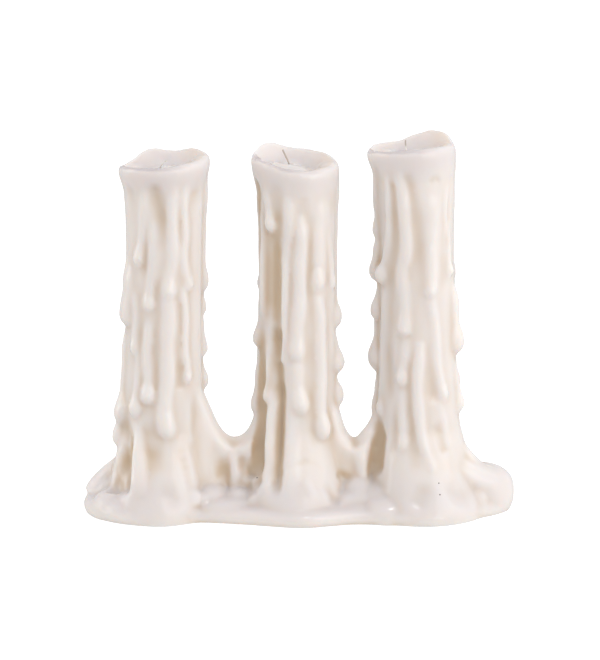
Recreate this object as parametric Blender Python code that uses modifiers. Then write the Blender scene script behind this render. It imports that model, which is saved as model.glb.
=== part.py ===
"""Melted candle: three dripping wax pillars that stand in one puddle of wax, with a cotton wick in each.

The wax is one casting. The cores, the rims, the runs of wax, the feet and the lobes of the puddle are
separate closed shapes, which a voxel remesh fuses and a smoothing rounds into each other. The ground
plane and the wick holes are cut last. Lengths in the tables are in millimetres and angles in degrees.
An azimuth of 0 faces the front (-Y), and positive azimuths turn towards the right (+X).
"""

import math
from typing import NamedTuple

import bmesh
import bpy
import numpy as np
from mathutils import Matrix, Vector

MM = 0.001

# Driving dimensions of the casting.
WELL_DEPTH = 13.0  # from the mean rim down to the floor of each well
WICK_RADIUS = 0.7
WICK_CLEARANCE = 0.3
WICK_END_HEIGHT = 1.0  # the wick is trimmed this far above the underside
BODY_VOXEL = 1.5
BODY_SMOOTHING = 6
BODY_SHARE_KEPT = 0.06  # share of the remeshed triangles that the solid keeps

# Radius of a bare pillar, (height, radius) from the ground up.
CORE_PROFILE = ((-3, 23.2), (25, 21.8), (50, 20.4), (80, 19.4), (120, 18.6), (150, 18.6), (180, 19.2))
# Section of a rim, (height from the rim, radius), down the outside and then up the well's wall.
RIM_SECTION = (
    (0.0, 19.6), (-0.9, 21.0), (-3.0, 22.0), (-8.0, 22.0), (-14.0, 21.2), (-20.0, 19.8), (-27.0, 16.0),
    (-20.0, 11.0), (-15.0, 13.4), (-11.0, 15.2), (-6.0, 16.2), (-2.0, 16.8), (-0.5, 17.9),
)
# Flare of a foot, (height, radius).
FOOT_PROFILE = ((46, 20.0), (34, 21.6), (24, 24.2), (16, 27.5), (10, 31.5), (6, 34.5), (-3, 35.0))

CORE_STEPS = 48
RUN_STEPS = 26
RUN_SIDES = 3  # bevel resolution of the runs


class Run(NamedTuple):
    """A run of wax down a pillar: its path as (height, azimuth) points, top first, and its widths."""

    path: tuple
    width: float
    bulb: float


class Root(NamedTuple):
    """A ridge that leaves a pillar's foot and spreads over the puddle."""

    top: float
    azimuth: float
    end_azimuth: float
    reach: float
    width: float
    end_width: float
    end_height: float = 3.0


class Pillar(NamedTuple):
    name: str
    foot_x: float
    top_x: float
    rim_height: float
    rim_shift: float
    rim_lift: tuple  # (azimuth, height over the mean rim)
    wick_tip: tuple  # (x, y, z) from the middle of the well's floor
    runs: tuple
    back_turn: float
    roots: tuple


# Runs on the far side, shared by the pillars: each turns and stretches them a little.
BACK_RUNS = (
    Run(((168, 108), (142, 112), (118, 116)), 6.0, 8.0),
    Run(((168, 138), (150, 136), (97, 132)), 5.0, 7.5),
    Run(((168, 163), (140, 166), (126, 164)), 7.0, 8.0),
    Run(((168, 192), (150, 196), (88, 200)), 6.0, 8.5),
    Run(((168, 222), (140, 218), (131, 216)), 4.5, 6.5),
    Run(((168, 250), (140, 252), (110, 250)), 5.0, 7.0),
    Run(((122, 118), (90, 114), (62, 110)), 5.5, 8.0),
    Run(((128, 160), (90, 164), (52, 168)), 7.0, 9.5),
    Run(((130, 220), (100, 226), (74, 228)), 5.0, 7.0),
    Run(((112, 246), (80, 250), (55, 246)), 5.0, 7.5),
    Run(((100, 138), (70, 140), (42, 142)), 6.0, 8.0),
    Run(((92, 196), (60, 192), (38, 194)), 6.0, 9.0),
    Run(((76, 222), (50, 218), (30, 220)), 5.0, 7.0),
)

LEFT = Pillar(
    "left", -69.5, -67.0, 180.0, -0.4,
    ((-90, -2.6), (-40, -1.8), (0, -1.6), (45, 0.2), (90, 1.8), (137, 2.6), (168, 0.4), (200, 2.0), (232, -0.4)),
    ((0, 0, 0), (-0.3, 0, 5), (0, 0, 9), (0.5, 0, 11.2), (1.5, 0, 12.0), (2.4, 0, 11.3)),
    (
        Run(((168, -32), (148, -35), (127, -46)), 7.0, 7.0),
        Run(((152, -12), (128, -19), (104, -24)), 4.0, 6.3),
        Run(((168, 16), (140, 13), (110, 10)), 8.0, 9.0),
        Run(((168, 38), (140, 41), (115, 45)), 3.6, 4.4),
        Run(((168, 70), (111, 80)), 6.0, 6.0),
        Run(((125, 98), (100, 96)), 5.0, 6.5),
        Run(((105, 80), (78, 84)), 6.0, 8.5),
        Run(((85, 96), (60, 92)), 6.0, 8.5),
        Run(((130, -80), (93, -85)), 6.0, 9.0),
        Run(((92, -76), (43, -72)), 5.0, 9.0),
        Run(((130, -47), (81, -47)), 4.5, 5.5),
        Run(((106, -22), (85, -25), (58, -20)), 5.0, 7.6),
        Run(((114, 6), (80, 9), (40, 8)), 8.0, 10.5),
        Run(((115, 36), (67, 37)), 4.2, 5.0),
        Run(((76, -41), (48, -46)), 4.2, 8.0),
        Run(((60, 38), (27, 38)), 3.6, 4.5),
    ),
    0.0,
    (
        Root(52, -34, -12, 34, 8, 15),
        Root(45, -88, -100, 31, 6, 16, 6),
        Root(26, 28, 46, 36, 7, 14),
        Root(40, 130, 150, 34, 8, 15),
        Root(40, 200, 190, 36, 8, 16),
        Root(36, 240, 235, 36, 8, 15),
    ),
)

MIDDLE = Pillar(
    "middle", -1.6, -1.6, 179.7, -0.9,
    ((-140, 6.2), (-90, 1.8), (-55, 1.6), (0, -2.2), (25, -3.2), (60, -2.4), (90, -1.8), (145, 0.6), (180, 2.2)),
    ((0, 0, 0), (-1.0, 0.4, 3), (-2.6, 1.8, 7), (-4.4, 3.8, 11), (-5.8, 5.6, 14.5)),
    (
        Run(((170, -62), (155, -52), (143, -47)), 4.0, 5.6),
        Run(((168, -11), (150, -14), (131, -18)), 6.4, 6.4),
        Run(((133, -20), (110, -22), (77, -27)), 4.6, 5.0),
        Run(((156, 10), (120, 4), (80, -3)), 6.2, 7.0),
        Run(((84, 0), (53, 5)), 7.0, 8.6),
        Run(((168, 35), (118, 32)), 7.0, 7.8),
        Run(((168, 62), (113, 64)), 4.4, 5.0),
        Run(((112, 82), (91, 85)), 5.0, 7.5),
        Run(((92, 80), (70, 82)), 5.0, 7.5),
        Run(((68, 84), (52, 85)), 5.0, 7.5),
        Run(((118, 38), (80, 40), (37, 32)), 8.0, 9.0),
        Run(((94, 62), (70, 67)), 3.8, 4.6),
        Run(((133, -86), (81, -88)), 6.0, 9.0),
        Run(((140, -56), (110, -58), (89, -65)), 3.4, 5.6),
        Run(((80, -86), (49, -88)), 6.0, 9.0),
        Run(((86, -50), (56, -54)), 4.0, 6.6),
        Run(((78, -17), (56, -17)), 3.4, 4.0),
    ),
    24.0,
    (
        Root(56, -9, -14, 34, 7, 14),
        Root(50, -44, -42, 32, 6, 14),
        Root(24, 10, 34, 34, 6, 12),
        Root(22, 36, 60, 34, 6, 12),
        Root(40, 150, 160, 36, 8, 16),
        Root(40, 200, 195, 34, 8, 14),
    ),
)

RIGHT = Pillar(
    "right", 60.6, 56.2, 187.0, -1.2,
    ((-90, -3.4), (-50, -1.4), (0, 0.0), (30, 0.8), (90, 0.6), (130, 4.6), (155, 5.2), (200, -1.2), (230, -1.2)),
    ((0, 0, 0), (-0.8, 0.6, 4), (-2.0, 2.4, 8), (-3.2, 5.0, 11.5), (-3.8, 7.4, 13.8)),
    (
        Run(((176, -60), (160, -47), (145, -44), (130, -54), (115, -59)), 3.4, 6.0),
        Run(((174, -26), (150, -15), (125, -17), (92, -22)), 6.8, 8.0),
        Run(((174, 20), (140, 22), (114, 19)), 8.4, 7.0),
        Run(((174, 67), (155, 55), (135, 66), (118, 76)), 3.6, 6.4),
        Run(((116, 22), (92, 29)), 5.6, 6.0),
        Run(((114, 74), (79, 78)), 6.5, 9.5),
        Run(((92, -15), (82, -18), (69, -30)), 4.8, 6.6),
        Run(((89, 4), (60, -2), (38, 0)), 6.4, 7.6),
        Run(((90, 22), (76, 30), (59, 37)), 4.6, 5.2),
        Run(((168, -84), (139, -86)), 5.0, 6.5),
        Run(((137, -84), (116, -82)), 5.0, 6.5),
        Run(((112, -86), (96, -86)), 4.5, 6.5),
        Run(((92, -90), (68, -90)), 6.0, 9.0),
        Run(((118, -60), (100, -64), (70, -68), (47, -60)), 3.2, 6.2),
        Run(((72, -30), (55, -25), (33, -26)), 4.6, 6.6),
        Run(((76, 78), (50, 82)), 6.0, 8.5),
        Run(((54, 84), (40, 84)), 5.0, 6.0),
    ),
    -18.0,
    (
        Root(50, 0, 22, 34, 7, 14),
        Root(58, 27, 52, 36, 5, 12, 5),
        Root(30, -26, -20, 32, 7, 15, 5),
        Root(40, 80, 88, 38, 8, 20, 8),
        Root(40, 140, 130, 34, 8, 15),
        Root(40, 200, 200, 34, 8, 15),
    ),
)

PILLARS = (LEFT, MIDDLE, RIGHT)

# Lobes of the puddle: middle x and y, half length along x, half width along y, height.
LOBES = (
    (-93.0, -6, 14.5, 19, 15),
    (-88.0, 12, 20.5, 18, 20),
    (-76, -14, 20, 18.0, 13),
    (-50, -10, 17, 17.5, 10),
    (-28, -13, 15, 17.0, 11),
    (-3, -19, 20, 18.0, 10),
    (21, -13, 16, 17.5, 10),
    (42, -13, 17, 18.0, 12),
    (68, -15, 16, 18.0, 14),
    (85.4, 4, 22.9, 23, 23),
    (70, 17, 20, 17.0, 14),
    (44, 14, 18, 17.0, 11),
    (16, 17.5, 19, 19.4, 12),
    (-12, 13, 17, 17.0, 10),
    (-38, 15, 19, 17.0, 12),
    (-66, 17, 20, 17.5, 13),
)
LOBE_MIDDLE_HEIGHT = 4.0
PUDDLE_SLAB = ((-84, 84), (-20, 20), (-3, 9))

# Curtains of wax between the pillars: the top edge as (x, height) points, and where columns run down.
WEBS = (
    (((-50, 62), (-43.5, 50), (-41, 44), (-37, 39), (-33, 37), (-28.5, 39), (-25, 44), (-20, 58)), ((-33, 31), (-27, 32))),
    (((16, 60), (20, 52), (22.5, 43), (25, 38.5), (27.3, 36.5), (30.5, 40), (35, 46), (40, 60)), ((30.8, 31),)),
)
WEB_HALF_THICKNESS = 5.0
WEB_MIDDLE_Y = 3.0
WEB_LIP_RADIUS = 5.6


def metres(points):
    return [Vector(point) * MM for point in points]


def add_object(name, data, collection):
    obj = bpy.data.objects.new(name, data)
    collection.objects.link(obj)
    return obj


def core_radius(height):
    heights, radii = zip(*CORE_PROFILE)
    return float(np.interp(height, heights, radii))


def axis_x(pillar, height):
    return pillar.foot_x + (pillar.top_x - pillar.foot_x) * height / pillar.rim_height


def smooth_path(path, steps):
    """Points along a smooth curve through the path's points, spaced evenly from its start to its end."""
    points = [Vector(point) for point in path]
    ends = [points[0] * 2 - points[1], *points, points[-1] * 2 - points[-2]]
    spots = np.linspace(0, len(points) - 1, steps)
    curve = []
    for spot in spots:
        i = min(int(spot), len(points) - 2)
        t = spot - i
        before, start, end, after = ends[i : i + 4]
        curve.append(
            0.5 * (2 * start + (end - before) * t + (2 * before - 5 * start + 4 * end - after) * t**2
                   + (3 * start - before - 3 * end + after) * t**3)
        )
    return curve


def tube(name, points, radii, collection):
    """A round tube through points with a radius at each, in millimetres, as a curve object."""
    curve = bpy.data.curves.new(name, "CURVE")
    curve.dimensions = "3D"
    curve.bevel_depth = MM
    curve.bevel_resolution = RUN_SIDES
    curve.use_fill_caps = True
    spline = curve.splines.new("POLY")
    spline.points.add(len(points) - 1)
    for spot, point, radius in zip(spline.points, metres(points), radii):
        spot.co = (*point, 1)
        spot.radius = radius
    return add_object(name, curve, collection)


def as_mesh(obj):
    """The object's evaluated shape as a mesh object with its loose caps welded, in the object's place."""
    shape = bpy.data.meshes.new_from_object(obj.evaluated_get(bpy.context.evaluated_depsgraph_get()))
    made = bpy.data.objects.new(obj.name, shape)
    made.matrix_world = obj.matrix_world
    welded = bmesh.new()
    welded.from_mesh(shape)
    bmesh.ops.remove_doubles(welded, verts=welded.verts, dist=0.01 * MM)
    welded.to_mesh(shape)
    welded.free()
    for collection in obj.users_collection:
        collection.objects.link(made)
    bpy.data.objects.remove(obj)
    return made


def turned(name, profile, closed, collection):
    """A (height, radius) profile turned about Z. A closed profile makes a ring."""
    mesh = bpy.data.meshes.new(name)
    points = metres((radius, 0, height) for height, radius in profile)
    edges = [(i, i + 1) for i in range(len(points) - 1)]
    if closed:
        edges.append((len(points) - 1, 0))
    mesh.from_pydata(points, edges, [])
    obj = add_object(name, mesh, collection)
    screw = obj.modifiers.new("turn", "SCREW")
    screw.steps = screw.render_steps = CORE_STEPS
    screw.use_merge_vertices = True
    screw.merge_threshold = 0.01 * MM
    return as_mesh(obj)


def around(table, azimuth):
    """The value at an azimuth of a table of (azimuth, value) points that closes on itself."""
    known = sorted((angle % 360, value) for angle, value in table)
    known = [(known[-1][0] - 360, known[-1][1]), *known, (known[0][0] + 360, known[0][1])]
    for (a, low), (b, high) in zip(known, known[1:]):
        if a <= azimuth % 360 <= b:
            share = (azimuth % 360 - a) / (b - a)
            return low + (high - low) * (1 - math.cos(math.pi * share)) / 2
    return 0.0


def make_core(pillar, collection):
    """The bare pillar, from the ground to the floor of its well. It leans with the pillar's axis."""
    floor = pillar.rim_height - WELL_DEPTH
    outside = [(height, radius) for height, radius in CORE_PROFILE if height < floor - 2]
    profile = [(floor, 0), (floor + 0.4, 8), (floor, 15), (floor - 2, core_radius(floor) - 0.6)]
    profile += [*reversed(outside), (outside[0][0], 0)]
    core = turned(f"{pillar.name}_core", profile, False, collection)
    for vertex in core.data.vertices:
        vertex.co.x += axis_x(pillar, vertex.co.z / MM) * MM
    return core


def make_rim(pillar, collection):
    """The thick wavy rim round the well, which overhangs the pillar."""
    rim = turned(f"{pillar.name}_rim", RIM_SECTION, True, collection)
    lowest = min(height for height, _ in RIM_SECTION)
    for vertex in rim.data.vertices:
        x, y, z = vertex.co
        azimuth = math.degrees(math.atan2(x, -y))
        share = 1 - z / (lowest * MM)
        lift = around(pillar.rim_lift, azimuth) * share
        height = pillar.rim_height + z / MM + lift
        vertex.co = Vector((x / MM + axis_x(pillar, height) + pillar.rim_shift * share, y / MM, height)) * MM
    return rim


def run_tube(name, pillar, run, collection):
    """A run hugs the pillar: flat at its top, proud at its round bulb."""
    curve = smooth_path([(height, azimuth, 0) for height, azimuth in run.path], RUN_STEPS)
    length = curve[0].x - curve[-1].x
    points, radii = [], []
    for spot in curve:
        above_tip = spot.x - curve[-1].x
        near_tip = max(0.0, 1 - above_tip / (1.9 * run.bulb)) ** 0.8
        swell = math.sin(math.pi * min(1.0, near_tip * 0.75)) if near_tip else 0.0
        width = run.width + (run.bulb - run.width) * min(1.0, swell)
        rise = width * (0.34 + 0.12 * swell)
        half = width / 2
        radius = (half**2 + rise**2) / (2 * rise)
        round_end = min(1.0, above_tip / radius + 0.02)
        radius_here = radius * math.sqrt(max(0.02, 1 - (1 - round_end) ** 2))
        sunk = radius - rise
        fade = min(1.0, (curve[0].x - spot.x) / (0.25 * length) + 0.35)
        height, azimuth = spot.x, math.radians(spot.y)
        out = core_radius(height) - sunk - (1 - fade) * rise
        points.append((axis_x(pillar, height) + out * math.sin(azimuth), -out * math.cos(azimuth), height))
        radii.append(radius_here)
    return as_mesh(tube(name, points, radii, collection))


def root_tube(name, pillar, root, collection):
    """A root falls down the foot and runs out over the puddle, wider and lower as it goes."""
    points, radii = [], []
    for step in range(RUN_STEPS):
        t = step / (RUN_STEPS - 1)
        azimuth = math.radians(root.azimuth + (root.end_azimuth - root.azimuth) * t**1.5)
        height = root.end_height + (root.top - root.end_height) * (1 - t) ** 1.7
        start = core_radius(root.top) - root.width * 0.15
        out = start + (root.reach - start) * t**1.8
        width = root.width + (root.end_width - root.width) * t
        points.append((axis_x(pillar, height) + out * math.sin(azimuth), -out * math.cos(azimuth), height))
        radii.append(width / 2 * min(1.0, 0.55 + 2 * t) * (1 - 0.45 * t**3))
    return as_mesh(tube(name, points, radii, collection))


def back_runs(pillar):
    """The far side's runs as this pillar has them."""
    for run in BACK_RUNS:
        stretch = 1 + 0.03 * math.sin(math.radians(run.path[0][1] * 3 + pillar.back_turn * 7))
        path = [
            (height + pillar.rim_height - 177 if height > 160 else height * stretch, azimuth + pillar.back_turn * 0.3)
            for height, azimuth in run.path
        ]
        yield Run(tuple(path), run.width, run.bulb)


def make_foot(pillar, collection):
    foot = turned(f"{pillar.name}_foot", [(46, 0), *FOOT_PROFILE, (-3, 0)], False, collection)
    for vertex in foot.data.vertices:
        vertex.co.x += pillar.foot_x * MM
    return foot


def make_pillar(pillar, collection):
    shapes = [make_core(pillar, collection), make_rim(pillar, collection), make_foot(pillar, collection)]
    for i, run in enumerate([*pillar.runs, *back_runs(pillar)]):
        shapes.append(run_tube(f"{pillar.name}_run_{i}", pillar, run, collection))
    for i, root in enumerate(pillar.roots):
        shapes.append(root_tube(f"{pillar.name}_root_{i}", pillar, root, collection))
    return shapes


def add_ball(name, middle, half_sizes, collection):
    mesh = bpy.data.meshes.new(name)
    ball = bmesh.new()
    bmesh.ops.create_uvsphere(ball, u_segments=32, v_segments=16, radius=1)
    bmesh.ops.scale(ball, vec=Vector(half_sizes) * MM, verts=ball.verts)
    bmesh.ops.translate(ball, vec=Vector(middle) * MM, verts=ball.verts)
    ball.to_mesh(mesh)
    ball.free()
    return add_object(name, mesh, collection)


def add_block(name, spans, collection):
    """A block from its (low, high) span along each axis, in millimetres."""
    mesh = bpy.data.meshes.new(name)
    block = bmesh.new()
    sizes = [(high - low) * MM for low, high in spans]
    middle = [(high + low) / 2 * MM for low, high in spans]
    bmesh.ops.create_cube(block, size=1)
    bmesh.ops.scale(block, vec=sizes, verts=block.verts)
    bmesh.ops.translate(block, vec=middle, verts=block.verts)
    block.to_mesh(mesh)
    block.free()
    return add_object(name, mesh, collection)


def make_puddle(collection):
    shapes = [add_block("puddle_slab", PUDDLE_SLAB, collection)]
    for i, (x, y, half_x, half_y, height) in enumerate(LOBES):
        middle = (x, y, LOBE_MIDDLE_HEIGHT)
        half_sizes = (half_x, half_y, height - LOBE_MIDDLE_HEIGHT)
        shapes.append(add_ball(f"lobe_{i}", middle, half_sizes, collection))
    return shapes


def inset(edge, distance):
    """Points at a distance under an edge of (x, height) points that runs left to right, as (x, 0, height)."""
    spots = []
    for i, point in enumerate(edge):
        along = (edge[min(i + 1, len(edge) - 1)] - edge[max(i - 1, 0)]).normalized()
        spots.append(Vector((point.x + along.y * distance, 0, point.y - along.x * distance)))
    return spots


def make_web(number, edge, columns, collection):
    """A curtain between two pillars: a flat outline under its sagging top edge, a lip and columns."""
    name = f"web_{number}"
    top = smooth_path([(x, height, 0) for x, height in edge], RUN_STEPS)
    outline = bpy.data.curves.new(name, "CURVE")
    outline.dimensions = "2D"
    outline.fill_mode = "BOTH"
    outline.extrude = WEB_HALF_THICKNESS * MM
    spline = outline.splines.new("POLY")
    corners = [point - Vector((0, 3, 0)) for point in top]
    corners += [Vector((edge[-1][0], 2, 0)), Vector((edge[0][0], 2, 0))]
    spline.points.add(len(corners) - 1)
    spline.use_cyclic_u = True
    for spot, corner in zip(spline.points, corners):
        spot.co = (corner.x * MM, corner.y * MM, 0, 1)
    web = add_object(name, outline, collection)
    web.matrix_world = Matrix.Translation((0, WEB_MIDDLE_Y * MM, 0)) @ Matrix.Rotation(math.pi / 2, 4, "X")
    shapes = [as_mesh(web)]
    lip = [spot + Vector((0, WEB_MIDDLE_Y, 0)) for spot in inset(top, WEB_LIP_RADIUS)]
    shapes.append(as_mesh(tube(f"{name}_lip", lip, [WEB_LIP_RADIUS] * len(lip), collection)))
    for i, (x, height) in enumerate(columns):
        column = [(x, WEB_MIDDLE_Y - 6.5, height - 25 * t / 9) for t in range(10)]
        radii = [1.6 + 0.9 * (t / 9) for t in range(10)]
        shapes.append(as_mesh(tube(f"{name}_column_{i}", column, radii, collection)))
    return shapes


def joined(name, shapes, collection):
    """One mesh object that holds every shape, still as separate shells."""
    whole = bmesh.new()
    for shape in shapes:
        shape.data.transform(shape.matrix_world)
        whole.from_mesh(shape.data)
        bpy.data.objects.remove(shape)
    mesh = bpy.data.meshes.new(name)
    whole.to_mesh(mesh)
    whole.free()
    return add_object(name, mesh, collection)


def add_cut(obj, cutter):
    cut = obj.modifiers.new(cutter.name, "BOOLEAN")
    cut.operation = "DIFFERENCE"
    cut.object = cutter
    cutter.hide_render = True
    cutter.display_type = "WIRE"


def well_floor(pillar):
    height = pillar.rim_height - WELL_DEPTH
    return (axis_x(pillar, height), 0, height)


def make_wax(collection, cutters):
    shapes = [shape for pillar in PILLARS for shape in make_pillar(pillar, collection)]
    shapes += make_puddle(collection)
    for number, (edge, columns) in enumerate(WEBS):
        shapes += make_web(number, edge, columns, collection)
    wax = joined("wax_body", shapes, collection)
    fuse = wax.modifiers.new("fuse", "REMESH")
    fuse.mode = "VOXEL"
    fuse.voxel_size = BODY_VOXEL * MM
    soften = wax.modifiers.new("soften", "SMOOTH")
    soften.iterations = BODY_SMOOTHING
    thin = wax.modifiers.new("thin", "DECIMATE")
    thin.ratio = BODY_SHARE_KEPT
    add_cut(wax, add_block("ground", ((-150, 150), (-80, 80), (-30, 0)), cutters))
    for pillar in PILLARS:
        floor = Vector(well_floor(pillar))
        foot = Vector((pillar.foot_x, 0, 0))
        line = [foot + (floor - foot) * share for share in (-0.05, 1.03)]
        radius = WICK_RADIUS + WICK_CLEARANCE
        add_cut(wax, as_mesh(tube(f"{pillar.name}_wick_hole", line, [radius] * 2, cutters)))
    return wax


def make_wick(pillar, collection):
    """The wick runs up the pillar's axis and bends over in the well."""
    floor = Vector(well_floor(pillar))
    foot = Vector((axis_x(pillar, WICK_END_HEIGHT), 0, WICK_END_HEIGHT))
    tip = smooth_path([floor + Vector(point) for point in pillar.wick_tip], 16)
    points = [foot, foot.lerp(floor, 0.5), *tip]
    return tube(f"wick_{pillar.name}", points, [WICK_RADIUS] * len(points), collection)


def add_material(obj, name, color, roughness):
    material = bpy.data.materials.new(name)
    material.use_nodes = True
    shader = material.node_tree.nodes["Principled BSDF"]
    shader.inputs["Base Color"].default_value = (*color, 1)
    shader.inputs["Roughness"].default_value = roughness
    shader.inputs["Metallic"].default_value = 0.0
    obj.data.materials.append(material)


def main():
    for obj in list(bpy.data.objects):
        bpy.data.objects.remove(obj)
    collection = bpy.data.collections.new("melted_candle")
    cutters = bpy.data.collections.new("cutters")
    for each in (collection, cutters):
        bpy.context.scene.collection.children.link(each)
    wax = make_wax(collection, cutters)
    add_material(wax, "ivory_wax", (0.80, 0.74, 0.68), 0.35)
    for pillar in PILLARS:
        add_material(make_wick(pillar, collection), f"cotton_{pillar.name}", (0.86, 0.83, 0.78), 0.8)


main()
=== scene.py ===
"""Melted candle: three dripping wax pillars on one puddle of wax, each with a cotton wick.

The wax is one casting. Turned pillars, runs of wax, roots, curtains and the lobes of the puddle are
modelled as closed shapes, joined, and fused by a voxel remesh. Lengths in the tables are in millimetres
and angles in degrees. An azimuth of 0 faces the front (-Y), and a positive one turns to the right (+X).
"""

import contextlib
import math
from typing import NamedTuple

import bpy
import numpy as np
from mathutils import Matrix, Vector


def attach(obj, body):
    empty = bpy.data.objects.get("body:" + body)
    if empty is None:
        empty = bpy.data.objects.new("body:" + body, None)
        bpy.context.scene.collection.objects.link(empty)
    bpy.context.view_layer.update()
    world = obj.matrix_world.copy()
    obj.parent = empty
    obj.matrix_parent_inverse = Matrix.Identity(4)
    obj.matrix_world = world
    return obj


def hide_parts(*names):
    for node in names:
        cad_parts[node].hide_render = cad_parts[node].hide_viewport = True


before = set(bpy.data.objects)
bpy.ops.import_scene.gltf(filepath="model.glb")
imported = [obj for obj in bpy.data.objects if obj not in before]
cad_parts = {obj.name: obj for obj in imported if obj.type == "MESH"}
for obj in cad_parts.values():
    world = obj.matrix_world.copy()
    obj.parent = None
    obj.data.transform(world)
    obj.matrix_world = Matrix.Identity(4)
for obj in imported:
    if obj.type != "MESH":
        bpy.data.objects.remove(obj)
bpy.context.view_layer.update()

bl_info = {
    "name": "Melted candle",
    "version": (1, 0, 0),
    "blender": (4, 5, 0),
    "location": "3D View > Sidebar > Candle",
    "description": "Builds a melted candle of three dripping pillars, its wicks and a plain stage",
    "category": "Add Mesh",
}

MM = 0.001
CORE_SIDES = 56
RUN_INSET = 2.5

# The pillars.

# Bare pillar, (height, radius) from the ground up to the underside of the rim.
CORE_PROFILE = (
    (-3, 25.5), (8, 25.2), (16, 24.5), (25, 23.2), (35, 21.9), (45, 21), (55, 20.3), (65, 19.8),
    (80, 19.3), (100, 19), (120, 18.9), (140, 19), (152, 19.3), (160, 19.8),
)
# Rim and well, (height from the mean rim, radius), up the outside, over the lip and down to the well's floor.
RIM_PROFILE = (
    (-16.5, 20.1), (-13, 20.7), (-10, 21.2), (-7, 21.6), (-4, 21.9), (-1.9, 21.9), (-0.6, 21.7), (0, 21.1),
    (0.1, 20.2), (-0.3, 18.7), (-1.3, 17.3), (-2.9, 15.7), (-4.8, 13.8), (-6.8, 11.6), (-8.8, 8.9),
    (-10.6, 6), (-11.8, 3.4), (-12.2, 1.6),
)
CORE_RIM_GAP = 3
LIP = 8
LIP_RADIUS = RIM_PROFILE[LIP][1]
# How far the outside of the lip is rounded down where it's thick: over which depth, from how far inside the
# lip's radius, over what width, and its turn from the right.
RIM_ROUND = 1.7
RIM_ROUND_DEPTH = 5
RIM_ROUND_START = 1.5
RIM_ROUND_WIDTH = 3.2
RIM_ROUND_TURN = math.radians(20)
# The width inside the lip over which the well's shift sets in, the share of the rim's lift that the well is
# taken to have where a run has to stay out of it, and (height, radius) under it, where it takes no room.
WELL_SHIFT_WIDTH = 3
WELL_LIFT_SHARE = 0.7
WELL_UNDERSIDE = (-22, -20)
# Runs: a bulb's swell is this long for its width, and this much prouder for a width up to the limit.
SWELL_LENGTH = 1.6
SWELL_RISE = 0.13
SWELL_RISE_WIDTH = 8
TIP_LEAST = 0.03
# How far below its start a run flares, from which share and how soon one that starts low on a pillar is full,
# and how far and from which share a flat run eases in and out.
FLARE_LENGTH = 14
START_SHARE = 0.35
START_LENGTH = 12
FLAT_LEAST = 0.04
FLAT_START = 20
FLAT_END = 24
# How much a run's width varies along its way, and by how many degrees it sways.
WIDTH_VARIES = 0.05
SWAY = 1.2


class Run(NamedTuple):
    """A run of wax down a pillar: its (height, azimuth) points from the top, its width, its bulb's width, how
    proud it is for its width, and how much wider it starts.
    """

    path: tuple
    width: float
    bulb: float
    proud: float = 0.28
    flare: float = 1.0


class Stroke(NamedTuple):
    """A stroke over the soft wax: its path, its half width, how far it presses in (out if negative) and the
    shares of its length over which its ends fade.

    It widens or narrows by the factor spread along its way, and its last share paints the wax under it
    browner and darker, as painted shade in the recess it lies in.
    """

    path: tuple
    half_width: float
    depth: float
    fade: tuple = (0.35, 0.35)
    spread: float = 1.0
    # Painted shade: how much browner and darker the wax under the stroke is painted.
    stain: float = 0.0


class Pillar(NamedTuple):
    """A pillar: where its axis stands at foot and top, its wavy rim and well, its runs, foot and strokes."""

    name: str
    foot_x: float
    top_x: float
    rim_height: float
    rim_shift: float
    rim_width: float
    rim_lift: tuple
    well_shift: tuple
    runs: tuple
    back_turn: float
    foot_reach: tuple
    strokes: tuple


# Runs on the far side, shared by the pillars: each turns and stretches them a little. They're drawn for this
# mean rim height, and those of their points that stand above the band follow a pillar's own.
BACK_RIM_HEIGHT = 177
BACK_RIM_BAND = 160
BACK_STRETCH = 0.03
BACK_TURN_SHARE = 0.3
BACK_RUNS = (
    Run(((172, 114), (142, 116), (118, 118)), 6, 8, flare=1.5),
    Run(((172, 138), (150, 136), (97, 132)), 5, 7.5, flare=1.5),
    Run(((172, 163), (140, 166), (126, 164)), 7, 8, flare=1.5),
    Run(((172, 192), (150, 196), (88, 200)), 6, 8.5, flare=1.5),
    Run(((172, 222), (140, 218), (131, 216)), 4.5, 6.5, flare=1.5),
    Run(((172, 240), (140, 242), (110, 240)), 5, 7, flare=1.5),
    Run(((172, 178), (130, 180), (104, 180)), 13, 13, 0.1),
    Run(((172, 236), (130, 234), (80, 236)), 13, 13, 0.1),
    Run(((172, 124), (130, 124), (80, 120)), 13, 13, 0.1),
    Run(((122, 118), (90, 114), (62, 110)), 5.5, 8),
    Run(((128, 160), (90, 164), (52, 168)), 7, 9.5),
    Run(((130, 220), (100, 226), (74, 228)), 5, 7),
    Run(((112, 246), (80, 250), (55, 246)), 5, 7.5),
    Run(((100, 138), (70, 140), (42, 142)), 6, 8),
    Run(((92, 196), (60, 192), (38, 194)), 6, 9),
    Run(((76, 222), (50, 218), (30, 220)), 5, 7),
    Run(((96, 180), (60, 178), (34, 180)), 14, 14, 0.12),
)

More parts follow.
